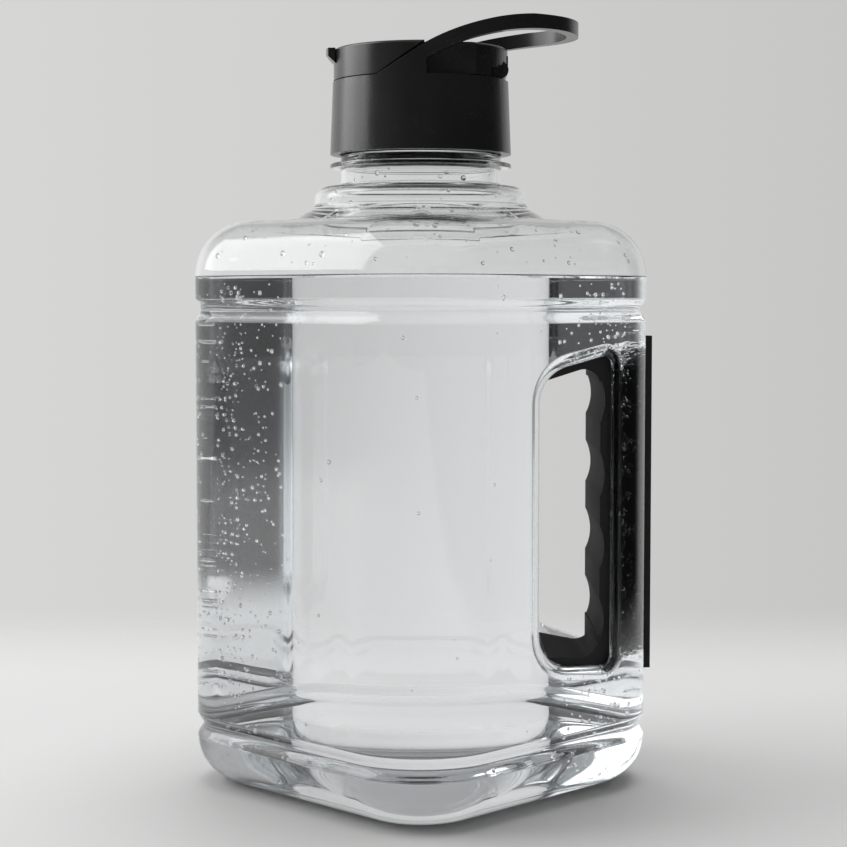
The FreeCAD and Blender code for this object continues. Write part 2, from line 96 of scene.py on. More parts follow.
FLOOR_HALF = 4.0
FADE_BEHIND = (0.16, 0.36)
FADE_BESIDE = (0.26, 0.46)
FADE_AROUND = (0.45, 0.8)
KEY_PLACE, KEY_AIM = (-0.95, 0.1, 0.72), (0, 0, 0.15)
KEY_SIZE, KEY_WATTS = (1.0, 0.95), 7.0
TOP_PLACE, TOP_AIM = (0.1, 0.3, 1.6), (0, 0, 0.1)
TOP_SIZE, TOP_WATTS = (1.2, 1.2), 13.0
CAMERA_PLACE = (0.0009, -0.6166, 0.1509)
CAMERA_DOWN_DEG = 3.6
LENS_MM = 83.95
SENSOR_MM = 36.0
CLIP_START = 0.01
CLEAR_BOUNCES = 40
GLOSSY_BOUNCES = 12
INDIRECT_CLAMP = 1.5

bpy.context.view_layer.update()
RIM_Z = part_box("bottle_body")[1].z


def length(name, description, millimetres):
    """A size property, written in millimetres and kept in metres."""
    return FloatProperty(
        name=name, description=description, default=millimetres * MM, unit="LENGTH", precision=5,
    )


def colour(name, description, rgb):
    """A colour property in linear light."""
    return FloatVectorProperty(
        name=name, description=description, default=rgb, subtype="COLOR", size=3, min=0, max=1,
    )


def count_of(name, description, number):
    """A property for how many there are."""
    return IntProperty(name=name, description=description, default=number, min=0)


class JugSizes(bpy.types.PropertyGroup):
    """Sizes of the clear jug and of what it holds."""
    body_side: length("Body side", "Width across two flat sides", 115)
    corner_r: length("Corner radius", "Radius of the upright corners", 27)
    wall: length("Wall", "Thickness of the clear wall", 1.5)
    base_edge_r: length("Base edge", "Radius between the sides and the base", 15)
    shoulder_z: length("Shoulder height", "Height of the flat round the neck", 175)
    shoulder_r: length("Shoulder radius", "Radius between the sides and the shoulder", 17)
    push_up_r: length("Push-up radius", "Radius of the dome in the base", 33)
    push_up_rise: length("Push-up rise", "Height of the dome in the base", 6)
    gate_r: length("Gate radius", "Radius of the sunk round on top of the dome", 9)
    gate_drop: length("Gate drop", "Depth of the sunk round on top of the dome", 0.8)
    groove_low_z: length("Lower band height", "Height of the lower sunk band", 18.5)
    groove_high_z: length("Upper band height", "Height of the upper sunk band", 147.6)
    groove_half: length("Band half width", "Half the width of a sunk band", 3.9)
    groove_depth: length("Band depth", "Depth of a sunk band", 1.7)
    cone_r: length("Cone radius", "Radius of the foot of the cone under the boss", 40)
    boss_r: length("Boss radius", "Radius of the boss under the neck", 33)
    boss_foot_z: length("Boss foot", "Height of the boss's foot", 179)
    boss_top_z: length("Boss top", "Height of the boss's top", 185.5)
    boss_edge_r: length("Boss edge", "Radius of the boss's upper edge", 4)
    boss_foot_r: length("Boss foot radius", "Radius in the corner at the boss's foot", 2)
    neck_fillet_r: length("Neck fillet", "Radius in the corner at the neck's foot", 1)
    neck_r: length("Neck radius", "Radius of the neck below the thread", 24.8)
    finish_r: length("Finish radius", "Radius of the threaded part of the neck", 22.6)
    finish_z: length("Finish foot", "Height where the threaded part starts", 195)
    bore_r: length("Bore radius", "Radius inside the neck", 20.8)
    thread_z: length("Thread start", "Height where the thread starts", 199)
    thread_pitch: length("Thread pitch", "Rise of the thread in one turn", 4.2)
    thread_depth: length("Thread depth", "How far the thread stands out", 1.15)
    thread_foot: length("Thread foot", "Width of the thread at its foot", 1.9)
    thread_tip: length("Thread tip", "Width of the thread at its crest", 0.9)
    thread_sink: length("Thread sink", "How far the thread is set into the neck", 0.3)
    ring_r: length("Ring radius", "Radius of the transfer ring on the neck", 28.1)
    ring_z: length("Ring height", "Height of the underside of the transfer ring", 191.2)
    ring_t: length("Ring thickness", "Thickness of the transfer ring", 1.4)
    hole_in_x: length("Hole inner side", "Where the finger hole's inner wall is along X", 34.63)
    hole_out_x: length("Hole outer side", "Where the finger hole's outer wall is along X", 57.53)
    hole_in_low: length("Hole floor inside", "Height of the hole's floor at its inner wall", 43.5)
    hole_in_high: length("Hole ceiling inside", "Height of the hole's ceiling at its inner wall", 129)
    hole_out_low: length("Hole floor outside", "Height of the hole's floor at its outer wall", 39.5)
    hole_out_high: length("Hole ceiling outside", "Height of the hole's ceiling at its outer wall", 134.5)
    hole_corner_r: length("Hole corner", "Radius of the hole's inner corners", 11)
    hole_outer_r: length("Hole outer corner", "Radius of the hole's outer corners", 2.5)
    lip_w: length("Lip width", "Width of the rounding round the hole's mouths", 2.6)
    water_z: length("Water height", "Height of the water", 158)
    water_lap: length("Water lap", "How far the water's surface is set into the wall", 0.4)
    meniscus_w: length("Meniscus width", "Width of the water's raised edge", 1.6)
    meniscus_h: length("Meniscus height", "Height of the water's raised edge", 0.9)
    bubbles: count_of("Bubbles", "How many bubbles cling to the walls", 1400)
    droplets: count_of("Droplets", "How many droplets hang above the water", 170)
    edge_r: length("Edge radius", "Rounding of the edges of the black pieces", 0.3)


class JugFinishes(bpy.types.PropertyGroup):
    """Colours of the pieces and of the stage."""
    clear: colour("Clear plastic", "Tint of the clear wall", (0.985, 0.992, 0.995))
    water: colour("Water", "Tint of the water", (0.985, 0.995, 1.0))
    black: colour("Black plastic", "Colour of the cap and lid", (0.010, 0.010, 0.0105))
    rubber: colour("Black rubber", "Colour of the grip", (0.022, 0.022, 0.023))
    silicone: colour("Silicone", "Colour of the seals", (0.5, 0.51, 0.52))
    steel: colour("Steel", "Colour of the blackened hinge pin", (0.06, 0.06, 0.065))
    floor: colour("Floor", "Colour of the floor", (0.80, 0.80, 0.795))
    backdrop: colour("Backdrop", "Colour of the wall behind the jug", (0.69, 0.69, 0.685))
    glow: colour("Back light", "What the jug sees behind it", (0.72, 0.72, 0.715))
    ceiling: colour("Ceiling", "What the jug sees above it", (0.36, 0.36, 0.36))
    left_side: colour("Left side", "What the jug sees to its left", (0.11, 0.11, 0.11))
    dark_side: colour("Dark side", "What the jug sees to its right and in front", (0.022, 0.022, 0.023))


class Value:
    """An output socket that takes part in Python arithmetic: each operation adds a Math node."""

    def __init__(self, finish, socket):
        self.finish = finish
        self.socket = socket

    def math(self, operation, *others):
        sockets = dict(enumerate((self,) + others))
        return self.finish.node("Math", {"operation": operation}, sockets).out("Value")

    def __add__(self, other):
        return self.math("ADD", other)

    def __radd__(self, other):
        return self.math("ADD", other)

    def __mul__(self, other):
        return self.math("MULTIPLY", other)

    def __rmul__(self, other):
        return self.math("MULTIPLY", other)

    def __sub__(self, other):
        return self.math("SUBTRACT", other)

    def __rsub__(self, other):
        return self.finish.node("Math", {"operation": "SUBTRACT"}, {0: other, 1: self}).out("Value")

    def smooth(self, low, high):
        """0 below low, 1 above high, and a smooth step between them."""
        settings = {"interpolation_type": "SMOOTHSTEP"}
        sockets = {"Value": self, "From Min": low, "From Max": high}
        return self.finish.node("MapRange", settings, sockets).out("Result")


class Node:
    """A node that was made, with its outputs by name."""

    def __init__(self, finish, node):
        self.finish = finish
        self.node = node

    def out(self, name):
        return Value(self.finish, self.node.outputs[name])


class Finish:
    """A shader tree being made: one method makes every node."""

    def __init__(self, owner, output):
        owner.use_nodes = True
        self.owner = owner
        self.tree = owner.node_tree
        self.tree.nodes.clear()
        self.output = self.tree.nodes.new(output)

    def node(self, kind, settings=None, sockets=None):
        """Makes a node, sets its settings, then its sockets' values or links."""
        made = self.tree.nodes.new("ShaderNode" + kind)
        for key, value in (settings or {}).items():
            setattr(made, key, value)
        for key, value in (sockets or {}).items():
            self.feed(made.inputs[key], value)
        return Node(self, made)

    def feed(self, socket, value):
        if isinstance(value, Value):
            self.tree.links.new(value.socket, socket)
        else:
            socket.default_value = value

    def surface(self, value):
        self.tree.links.new(value.socket, self.output.inputs["Surface"])

    def place(self):
        """The position on the piece, in its own frame."""
        return self.node("TexCoord").out("Object")

    def noise(self, scale, detail=2.0, roughness=0.5):
        sockets = {"Vector": self.place(), "Scale": scale, "Detail": detail, "Roughness": roughness}
        return self.node("TexNoise", None, sockets).out("Fac")

    def bump(self, height, strength, distance):
        sockets = {"Height": height, "Strength": strength, "Distance": distance}
        return self.node("Bump", None, sockets).out("Normal")

    def blend(self, amount, first, second):
        """A colour between two colours."""
        made = self.node("Mix", {"data_type": "RGBA"})
        self.feed(made.node.inputs["Factor"], amount)
        for key, value in (("A", first), ("B", second)):
            socket = [s for s in made.node.inputs if s.name == key and s.type == "RGBA"][0]
            self.feed(socket, value)
        return Value(self, [s for s in made.node.outputs if s.type == "RGBA"][0])


def new_material(name):
    return Finish(bpy.data.materials.new(name), "ShaderNodeOutputMaterial")


def opaque(rgb):
    """A colour with full alpha."""
    return (rgb[0], rgb[1], rgb[2], 1.0)


def scaled(rgb, factor):
    """A colour made lighter or darker, with full alpha."""
    return opaque([factor * part for part in rgb])


def clear_plastic(finishes):
    """Blow-moulded clear plastic: glossy, with the faint waviness of the mould."""
    finish = new_material("clear_plastic")
    waves = finish.noise(scale=38.0, detail=1.0)
    haze = finish.noise(scale=420.0, detail=3.0)
    shader = finish.node("BsdfPrincipled", None, {
        "Base Color": opaque(finishes.clear),
        "Transmission Weight": 1.0,
        "IOR": PLASTIC_IOR,
        "Roughness": haze.smooth(low=0.62, high=0.85) * 0.03,
        "Normal": finish.bump(waves, strength=0.10, distance=0.4 * MM),
    })
    finish.surface(shader.out("BSDF"))
    return finish.owner


def still_water(finishes):
    """Clear still water."""
    finish = new_material("water")
    shader = finish.node("BsdfPrincipled", None, {
        "Base Color": opaque(finishes.water),
        "Transmission Weight": 1.0,
        "IOR": WATER_IOR,
        "Roughness": 0.0,
    })
    finish.surface(shader.out("BSDF"))
    return finish.owner


def air_in_water():
    """The inside of a bubble, which bends light the other way."""
    finish = new_material("air_bubble")
    shader = finish.node("BsdfPrincipled", None, {
        "Base Color": opaque((1.0, 1.0, 1.0)),
        "Transmission Weight": 1.0,
        "IOR": BUBBLE_IOR,
        "Roughness": 0.0,
    })
    finish.surface(shader.out("BSDF"))
    return finish.owner


def satin_plastic(name, rgb, fineness, roughness, sheen):
    """Moulded plastic or rubber with a fine spark-eroded grain and faint handling marks."""
    finish = new_material(name)
    grain = finish.noise(scale=fineness, detail=2.0, roughness=0.6)
    marks = finish.noise(scale=55.0, detail=4.0, roughness=0.6)
    shader = finish.node("BsdfPrincipled", None, {
        "Base Color": finish.blend(marks, opaque(rgb), scaled(rgb, 1.35)),
        "Roughness": roughness + (marks - 0.5) * 0.12,
        "Normal": finish.bump(grain, strength=0.15, distance=0.05 * MM),
        "IOR": SATIN_IOR,
        "Specular IOR Level": sheen,
    })
    finish.surface(shader.out("BSDF"))
    return finish.owner


def drawn_steel(finishes):
    """Drawn steel wire, with marks along the pin."""
    finish = new_material("drawn_steel")
    stretched = finish.node("Mapping", None, {"Vector": finish.place(), "Scale": (9000.0, 300.0, 9000.0)})
    lines = finish.node("TexNoise", None, {"Vector": stretched.out("Vector"), "Scale": 1.0, "Detail": 2.0})
    shader = finish.node("BsdfPrincipled", None, {
        "Base Color": opaque(finishes.steel),
        "Metallic": 1.0,
        "Roughness": 0.22 + lines.out("Fac") * 0.2,
    })
    finish.surface(shader.out("BSDF"))
    return finish.owner


def rounded(outline, closed=False):
    """Points of an outline given as (first, second, rounding) corners, each rounded corner as an arc."""
    points = []
    count = len(outline)
    for k, (a, b, radius) in enumerate(outline):
        corner = Vector((a, b))
        if radius == 0 or (not closed and k in (0, count - 1)):
            points.append(corner)
            continue
        back = (Vector(outline[k - 1][:2]) - corner).normalized()
        ahead = (Vector(outline[(k + 1) % count][:2]) - corner).normalized()
        half = back.angle(ahead) / 2
        centre = corner + (back + ahead).normalized() * radius / math.sin(half)
        start = corner + back * radius / math.tan(half) - centre
        sweep = start.angle_signed(corner + ahead * radius / math.tan(half) - centre)
        for step in range(ARC_STEPS + 1):
            points.append(centre + Matrix.Rotation(-sweep * step / ARC_STEPS, 2) @ start)
    return points


def edges_at(bm, z):
    """The edges that lie at one height."""
    return [e for e in bm.edges if all(abs(v.co.z - z) < NEAR for v in e.verts)]


def faces_at(bm, z):
    """The faces that lie at one height."""
    return [f for f in bm.faces if all(abs(v.co.z - z) < NEAR for v in f.verts)]


def round_edges(bm, edges, width, steps):
    """Rounds edges with an arc that starts this far from them."""
    bmesh.ops.bevel(
        bm, geom=edges, offset=width, offset_type="OFFSET", segments=steps, profile=0.5,
        affect="EDGES", material=-1, clamp_overlap=False, loop_slide=True,
    )


def turn(bm, points):
    """Spins an open outline of (radius, height) points round the Z axis."""
    verts = [bm.verts.new((r, 0, z)) for r, z in points]
    edges = [bm.edges.new(pair) for pair in zip(verts, verts[1:])]
    bmesh.ops.spin(
        bm, geom=verts + edges, cent=(0, 0, 0), axis=(0, 0, 1), angle=2 * math.pi, steps=TURN_STEPS,
        use_merge=True,
    )


def bar_along_y(points, y_from, y_to):
    """A closed outline of (x, z) points carried along Y."""
    bm = bmesh.new()
    face = bm.faces.new([bm.verts.new((x, y_from, z)) for x, z in points])
    grown = bmesh.ops.extrude_face_region(bm, geom=[face])
    moved = [v for v in grown["geom"] if isinstance(v, bmesh.types.BMVert)]
    bmesh.ops.translate(bm, vec=(0, y_to - y_from, 0), verts=moved)
    bmesh.ops.recalc_face_normals(bm, faces=bm.faces)
    return bm


def as_object(bm, name):
    """A mesh object made of a bmesh, linked to the scene."""
    mesh = bpy.data.meshes.new(name)
    bm.to_mesh(mesh)
    bm.free()
    made = bpy.data.objects.new(name, mesh)
    bpy.context.scene.collection.objects.link(made)
    return made


def combine(first, second, operation):
    """The boolean of two bmeshes, as a new bmesh."""
    kept = as_object(first, "kept")
    tool = as_object(second, "tool")
    modifier = kept.modifiers.new("boolean", "BOOLEAN")
    modifier.operation = operation
    modifier.solver = "EXACT"
    modifier.object = tool
    result = bmesh.new()
    result.from_object(kept, bpy.context.evaluated_depsgraph_get())
    for used in (kept, tool):
        mesh = used.data
        bpy.data.objects.remove(used)
        bpy.data.meshes.remove(mesh)
    return result


def finish_piece(made, material, body, smooth_deg=SHARP_DEG):
    """Gives a piece its material, its smooth shading and the body it rides on."""
    made.data.materials.clear()
    made.data.materials.append(material)
    made.data.shade_smooth()
    made.data.set_sharp_from_angle(angle=math.radians(smooth_deg))
    weighted = made.modifiers.new("even_normals", "WEIGHTED_NORMAL")
    weighted.keep_sharp = True
    weighted.weight = 100
    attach(made, body)
    return made


def arc_centre(sizes, point):
    """Centre of the upright corner that a point of the body belongs to."""
    reach = (sizes.body_side / 2 - sizes.corner_r) * math.sqrt(2)
    if abs(point.x) > abs(point.y):
        return Vector((math.copysign(reach, point.x), 0))
    return Vector((0, math.copysign(reach, point.y)))


def sink_groove(bm, sizes, z):
    """Presses a soft band into the sides at one height."""
    for step in range(-ARC_STEPS, ARC_STEPS + 1):
        level = z + sizes.groove_half * step / ARC_STEPS
        geom = bm.verts[:] + bm.edges[:] + bm.faces[:]
        bmesh.ops.bisect_plane(bm, geom=geom, plane_co=(0, 0, level), plane_no=(0, 0, 1), dist=NEAR)
    for vert in bm.verts:
        off = abs(vert.co.z - z)
        if off < sizes.groove_half:
            depth = sizes.groove_depth * (1 + math.cos(math.pi * off / sizes.groove_half)) / 2
            centre = arc_centre(sizes, vert.co)
            out = (vert.co.xy - centre).normalized()
            vert.co.xy -= out * depth


def square_block(sizes, inset):
    """The square body drawn in by an inset, with rounded uprights and edges and two sunk bands."""
    bm = bmesh.new()
    low, high = inset, sizes.shoulder_z - inset
    side = sizes.body_side - 2 * inset
    place = Matrix.Translation((0, 0, (low + high) / 2)) @ Matrix.Rotation(math.pi / 4, 4, "Z")
    bmesh.ops.create_cube(bm, size=1, matrix=place @ Matrix.Diagonal((side, side, high - low, 1)))
    uprights = [e for e in bm.edges if abs(e.verts[0].co.z - e.verts[1].co.z) > NEAR]
    round_edges(bm, uprights, sizes.corner_r - inset, CORNER_STEPS)
    round_edges(bm, edges_at(bm, low), sizes.base_edge_r - inset, EDGE_STEPS)
    round_edges(bm, edges_at(bm, high), sizes.shoulder_r - inset, EDGE_STEPS)
    for z in (sizes.groove_low_z, sizes.groove_high_z):
        sink_groove(bm, sizes, z)
    return bm


def neck_outline(sizes, inset):
    """Shoulder cone, boss and neck up to the rim, outside or inside, closed on the axis."""
    start = (sizes.cone_r, sizes.shoulder_z - inset, 0)
    if inset:
        return rounded([
            start,
            (sizes.boss_r - inset, sizes.boss_foot_z - inset, sizes.boss_foot_r),
            (sizes.boss_r - inset, sizes.boss_top_z - inset, sizes.boss_edge_r - inset),
            (sizes.neck_r - inset, sizes.boss_top_z - inset, sizes.neck_fillet_r),
            (sizes.neck_r - inset, sizes.ring_z, sizes.neck_fillet_r),
            (sizes.bore_r, sizes.finish_z, sizes.neck_fillet_r),
            (sizes.bore_r, RIM_Z, 0),
            (0, RIM_Z, 0),
        ])
    edge = sizes.ring_t / 3
    return rounded([
        start,
        (sizes.boss_r, sizes.boss_foot_z, sizes.boss_foot_r),
        (sizes.boss_r, sizes.boss_top_z, sizes.boss_edge_r),
        (sizes.neck_r, sizes.boss_top_z, sizes.neck_fillet_r),
        (sizes.neck_r, sizes.ring_z, edge),
        (sizes.ring_r, sizes.ring_z, edge),
        (sizes.ring_r, sizes.ring_z + sizes.ring_t, edge),
        (sizes.neck_r, sizes.ring_z + sizes.ring_t, edge),
        (sizes.neck_r, sizes.finish_z, edge),
        (sizes.finish_r, sizes.finish_z, edge),
        (sizes.finish_r, RIM_Z, 0),
        (0, RIM_Z, 0),
    ])


def base_outline(sizes, inset):
    """The dome pressed up into the base, from its rim to the axis, with the sunk round on top."""
    dome_r = (sizes.push_up_r ** 2 + sizes.push_up_rise ** 2) / (2 * sizes.push_up_rise)
    centre_z = sizes.push_up_rise - dome_r
    dome_r += inset
    rim_r = math.sqrt(dome_r ** 2 - (inset - centre_z) ** 2)
    steps = 3 * ARC_STEPS
    points = []
    for step in range(steps + 1):
        r = rim_r + (sizes.gate_r - rim_r) * step / steps
        points.append((r, centre_z + math.sqrt(dome_r ** 2 - r ** 2)))
    top_z = points[-1][1] - sizes.gate_drop
    return points + [(sizes.gate_r - sizes.gate_drop, top_z), (0, top_z)]


def hull(sizes, inset):
    """The jug's form drawn in by an inset, as one closed surface with its neck shut at the rim."""
    bm = square_block(sizes, inset)
    low, high = inset, sizes.shoulder_z - inset
    for z in (low, high):
        bmesh.ops.delete(bm, geom=faces_at(bm, z), context="FACES_ONLY")
    turn(bm, neck_outline(sizes, inset))
    turn(bm, base_outline(sizes, inset))
    bmesh.ops.remove_doubles(bm, verts=bm.verts, dist=NEAR)
    for z in (low, high):
        bmesh.ops.triangle_fill(bm, edges=edges_at(bm, z), use_beauty=True)
    bmesh.ops.recalc_face_normals(bm, faces=bm.faces)
    return bm


def hole_bar(sizes, grow):
    """The finger hole as a bar along Y, pushed out by a margin."""
    reach = sizes.body_side
    points = rounded([
        (sizes.hole_in_x - grow, sizes.hole_in_low - grow, sizes.hole_corner_r + grow),
        (sizes.hole_out_x + grow, sizes.hole_out_low - grow, sizes.hole_outer_r + grow),
        (sizes.hole_out_x + grow, sizes.hole_out_high + grow, sizes.hole_outer_r + grow),
        (sizes.hole_in_x - grow, sizes.hole_in_high + grow, sizes.hole_corner_r + grow),
    ], closed=True)
    return bar_along_y(points, -reach, reach)


def soften_mouths(bm, sizes, inset):
    """Rounds the edges where the finger hole comes out through two flat sides."""
    reach = (sizes.body_side - 2 * inset) / math.sqrt(2)
    low, high = sizes.hole_out_low - inset - NEAR, sizes.hole_out_high + inset + NEAR

    def on_mouth(vert):
        on_flat = abs(vert.co.x + abs(vert.co.y) - reach) < CUT_NEAR
        return on_flat and low < vert.co.z < high

    mouth = []
    for edge in bm.edges:
        if all(on_mouth(v) for v in edge.verts) and len(edge.link_faces) == 2:
            if edge.calc_face_angle() > math.radians(MOUTH_DEG):
                mouth.append(edge)
    round_edges(bm, mouth, sizes.lip_w, LIP_STEPS)


def pierced_hull(sizes, inset):
    """The jug's form with the finger hole through its corner."""
    bm = combine(hull(sizes, inset), hole_bar(sizes, inset), "DIFFERENCE")
    soften_mouths(bm, sizes, inset)
    return bm


def add_mesh(bm, other):
    """Adds another bmesh to this one."""
    mesh = bpy.data.meshes.new("added")
    other.to_mesh(mesh)
    other.free()
    bm.from_mesh(mesh)
    bpy.data.meshes.remove(mesh)


def thread_rib(sizes):
    """The rib of the neck's thread: a section carried up a helix."""
    bm = bmesh.new()
    root, crest = sizes.finish_r - sizes.thread_sink, sizes.finish_r + sizes.thread_depth
    foot, tip = sizes.thread_foot / 2, sizes.thread_tip / 2
    z = sizes.thread_z
    section = ((root, z - foot), (crest, z - tip), (crest, z + tip), (root, z + foot))
    face = bm.faces.new([bm.verts.new((x, 0, z)) for x, z in section])
    steps = round(TURN_STEPS * THREAD_TURNS)
    rise = sizes.thread_pitch * THREAD_TURNS / steps
    bmesh.ops.spin(
        bm, geom=face.verts[:] + face.edges[:] + [face], cent=(0, 0, 0), axis=(0, 0, 1), dvec=(0, 0, rise),
        angle=2 * math.pi * THREAD_TURNS, steps=steps,
    )
    bmesh.ops.recalc_face_normals(bm, faces=bm.faces)
    return bm


class JUG_OT_shell(bpy.types.Operator):
    """Make the clear jug: an outer and an inner skin joined at the rim"""
    bl_idname = "jug.shell"
    bl_label = "Clear jug"

    def execute(self, context):
        sizes = context.scene.jug_sizes
        bm = pierced_hull(sizes, 0)
        inner = pierced_hull(sizes, sizes.wall)
        bmesh.ops.reverse_faces(inner, faces=inner.faces)
        add_mesh(bm, inner)
        bmesh.ops.delete(bm, geom=faces_at(bm, RIM_Z), context="FACES")
        bmesh.ops.triangle_fill(bm, edges=edges_at(bm, RIM_Z), use_beauty=True, normal=(0, 0, 1))
        for face in faces_at(bm, RIM_Z):
            if face.normal.z < 0:
                face.normal_flip()
        add_mesh(bm, thread_rib(sizes))
        made = as_object(bm, "jug_shell")
        finish_piece(made, clear_plastic(context.scene.jug_finishes), "jug")
        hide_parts("bottle_body")
        return {"FINISHED"}


class JUG_OT_water(bpy.types.Operator):
    """Fill the jug with water up to its line"""
    bl_idname = "jug.water"
    bl_label = "Water"

    def execute(self, context):
        sizes = context.scene.jug_sizes
        bm = pierced_hull(sizes, sizes.wall - sizes.water_lap)
        geom = bm.verts[:] + bm.edges[:] + bm.faces[:]
        bmesh.ops.bisect_plane(
            bm, geom=geom, plane_co=(0, 0, sizes.water_z), plane_no=(0, 0, 1), dist=NEAR, clear_outer=True,
        )
        top = bmesh.ops.contextual_create(bm, geom=edges_at(bm, sizes.water_z))["faces"]
        bmesh.ops.inset_region(
            bm, faces=top, thickness=sizes.meniscus_w, depth=-sizes.meniscus_h, use_even_offset=True,
        )
        bmesh.ops.recalc_face_normals(bm, faces=bm.faces)
        made = as_object(bm, "water")
        finish_piece(made, still_water(context.scene.jug_finishes), "jug")
        return {"FINISHED"}


def point_on(face, chance):
    """A random point of a triangle."""
    first, second, third = [corner.co for corner in face.verts]
    return first.lerp(second.lerp(third, chance.random()), math.sqrt(chance.random()))


def scatter(bm, name, likely, count, radii, flatten, sink, chance):
    """Small balls on a surface: likely(point) is the chance of keeping one, sink is how deep it sits."""
    ball = bmesh.new()
    squash = Matrix.Diagonal((1, 1, flatten, 1))
    bmesh.ops.create_uvsphere(ball, u_segments=BALL_SIDES, v_segments=BALL_RINGS, radius=1, matrix=squash)
    pattern = bpy.data.meshes.new("ball")
    ball.to_mesh(pattern)
    ball.free()
    faces = [f for f in bm.faces if likely(f.calc_center_median()) > 0]
    areas = list(accumulate(f.calc_area() for f in faces))
    balls = bmesh.new()
    while count > 0:
        face = chance.choices(faces, cum_weights=areas)[0]
        point = point_on(face, chance)
        if chance.random() > likely(point):
            continue
        radius = radii[0] + (radii[1] - radii[0]) * chance.random() ** SMALL_BIAS
        turned = face.normal.to_track_quat("Z", "Y").to_matrix().to_4x4()
        centre = Matrix.Translation(point - face.normal * radius * sink)
        placed = pattern.copy()
        placed.transform(centre @ turned @ Matrix.Scale(radius, 4))
        balls.from_mesh(placed)
        bpy.data.meshes.remove(placed)
        count -= 1
    bpy.data.meshes.remove(pattern)
    return as_object(balls, name)


class JUG_OT_bubbles(bpy.types.Operator):
    """Scatter air bubbles on the walls under water and droplets above it"""
    bl_idname = "jug.bubbles"
    bl_label = "Bubbles and droplets"

    def execute(self, context):
        sizes = context.scene.jug_sizes
        finishes = context.scene.jug_finishes
        chance = random.Random(BUBBLE_SEED)
        skin = pierced_hull(sizes, sizes.wall)
        bmesh.ops.triangulate(skin, faces=skin.faces)

        def under_water(point):
            wet = BUBBLE_LOW_Z < point.z < sizes.water_z - LINE_GAP
            if not wet or point.y > BUBBLE_BACK_Y:
                return 0.0
            if abs(point.x) > BUBBLE_SIDE_X:
                return 1.0 if abs(point.x) < BUBBLE_CORNER_X else 0.35
            return 0.02 if point.y < 0 else 0.05

        def above_water(point):
            if point.z < sizes.water_z + LINE_GAP or point.z > sizes.ring_z:
                return 0.0
            return 1.0 if point.y < DROPLET_FRONT_Y else 0.3

        bubbles = scatter(
            skin, "bubbles", under_water, sizes.bubbles, BUBBLE_R, flatten=1.0, sink=1.0, chance=chance,
        )
        droplets = scatter(
            skin, "droplets", above_water, sizes.droplets, DROPLET_R, flatten=0.5, sink=0.2, chance=chance,
        )
        skin.free()
        finish_piece(bubbles, air_in_water(), "jug", smooth_deg=ALL_SMOOTH_DEG)
        finish_piece(droplets, still_water(finishes), "jug", smooth_deg=ALL_SMOOTH_DEG)
        return {"FINISHED"}


def softened_copy(name, width, material, body):
    """A copy of a CAD node with its sharp edges rounded, which takes the node's place."""
    bm = bmesh.new()
    bm.from_mesh(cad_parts[name].data)
    bmesh.ops.remove_doubles(bm, verts=bm.verts, dist=NEAR)
    bmesh.ops.dissolve_limit(bm, angle_limit=math.radians(FLAT_DEG), verts=bm.verts, edges=bm.edges)
    made = as_object(bm, name + "_soft")
    bevel = made.modifiers.new("soft_edges", "BEVEL")
    bevel.width = width
    bevel.segments = BEVEL_STEPS
    bevel.limit_method = "ANGLE"
    bevel.angle_limit = math.radians(SHARP_DEG)
    finish_piece(made, material, body)
    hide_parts(name)
    return made


def dress_node(name, material):
    """Gives a CAD node a material."""
    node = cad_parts[name]
    node.data.materials.clear()
    node.data.materials.append(material)


class JUG_OT_fittings(bpy.types.Operator):
    """Finish the cap, lid, grip, seals and pin"""
    bl_idname = "jug.fittings"
    bl_label = "Cap and fittings"

    def execute(self, context):
        finishes = context.scene.jug_finishes
        black = satin_plastic("black_plastic", finishes.black, fineness=2600.0, roughness=0.27, sheen=0.9)
        rubber = satin_plastic("black_rubber", finishes.rubber, fineness=1800.0, roughness=0.75, sheen=0.3)
        silicone = satin_plastic("silicone", finishes.silicone, fineness=1500.0, roughness=0.45, sheen=0.5)
        edge = context.scene.jug_sizes.edge_r
        softened_copy("cap_shell", edge, black, "cap")
        softened_copy("flip_lid", edge, black, "lid")
        softened_copy("handle_grip", edge, rubber, "jug")
        dress_node("cap_insert", black)
        dress_node("spout", rubber)
        for name in ("neck_gasket", "lid_plug"):
            dress_node(name, silicone)
        dress_node("hinge_pin", drawn_steel(finishes))
        return {"FINISHED"}


def soft_lamp(name, place, target, size, power):
    """A rectangular soft light that faces a point."""
    lamp = bpy.data.lights.new(name, "AREA")
    lamp.shape = "RECTANGLE"
    lamp.size, lamp.size_y = size
    lamp.energy = power
    made = bpy.data.objects.new(name, lamp)
    made.location = place
    made.rotation_euler = (Vector(target) - Vector(place)).to_track_quat("-Z", "Y").to_euler()
    bpy.context.scene.collection.objects.link(made)
    return made


def floor_finish(finishes):
    """Pale matt table top that fades out towards the backdrop."""
    finish = new_material("pale_floor")
    place = finish.place()
    parts = finish.node("SeparateXYZ", None, {"Vector": place})
    seen = finish.node("LightPath").out("Is Camera Ray")
    behind = parts.out("Y").smooth(*FADE_BEHIND)
    beside = parts.out("X").smooth(*FADE_BESIDE) * (1.0 - seen)
    spread = finish.node("VectorMath", {"operation": "LENGTH"}, {0: place}).out("Value")
    around = spread.smooth(*FADE_AROUND) * seen
    cloud = finish.noise(scale=2.2, detail=3.0)
    shader = finish.node("BsdfPrincipled", None, {
        "Base Color": finish.blend(cloud, opaque(finishes.floor), scaled(finishes.floor, 0.94)),
        "Roughness": 0.6,
    })
    clear = finish.node("BsdfTransparent")
    faded = behind.math("MAXIMUM", beside).math("MAXIMUM", around)
    sockets = {"Fac": faded, 1: shader.out("BSDF"), 2: clear.out("BSDF")}
    finish.surface(finish.node("MixShader", None, sockets).out("Shader"))
    return finish.owner


